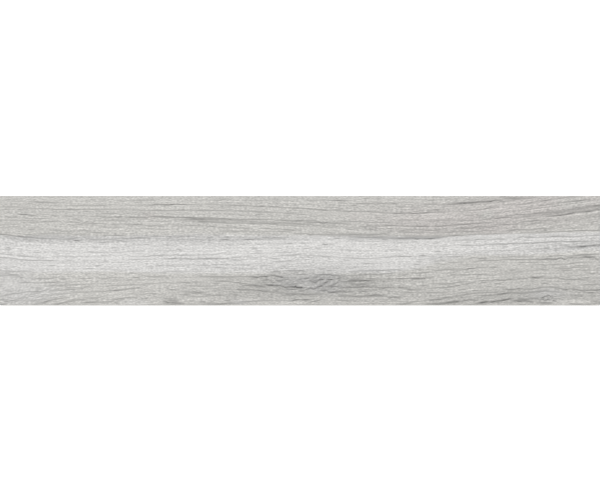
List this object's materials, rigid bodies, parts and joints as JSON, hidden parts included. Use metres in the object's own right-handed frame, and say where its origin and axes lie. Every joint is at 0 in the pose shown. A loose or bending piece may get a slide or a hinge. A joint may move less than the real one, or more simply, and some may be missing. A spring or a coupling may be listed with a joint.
{
  "type": "wood look porcelain plank tile",
  "caption": "Long flat porcelain floor or wall tile with a pale grey wood grain face, square ground edges and a pocketed keying back.",
  "frame": {"origin": "middle of the back, in the plane of the rib tops that the tile lies on", "axes": "+X along the plank, +Y across it, +Z out of the printed face"},
  "size_m": [1.198, 0.218, 0.009],
  "materials": {
    "porcelain": "matte"
  },
  "bodies": {
    "root": {"plank_tile": "porcelain"}
  },
  "joints": []
}
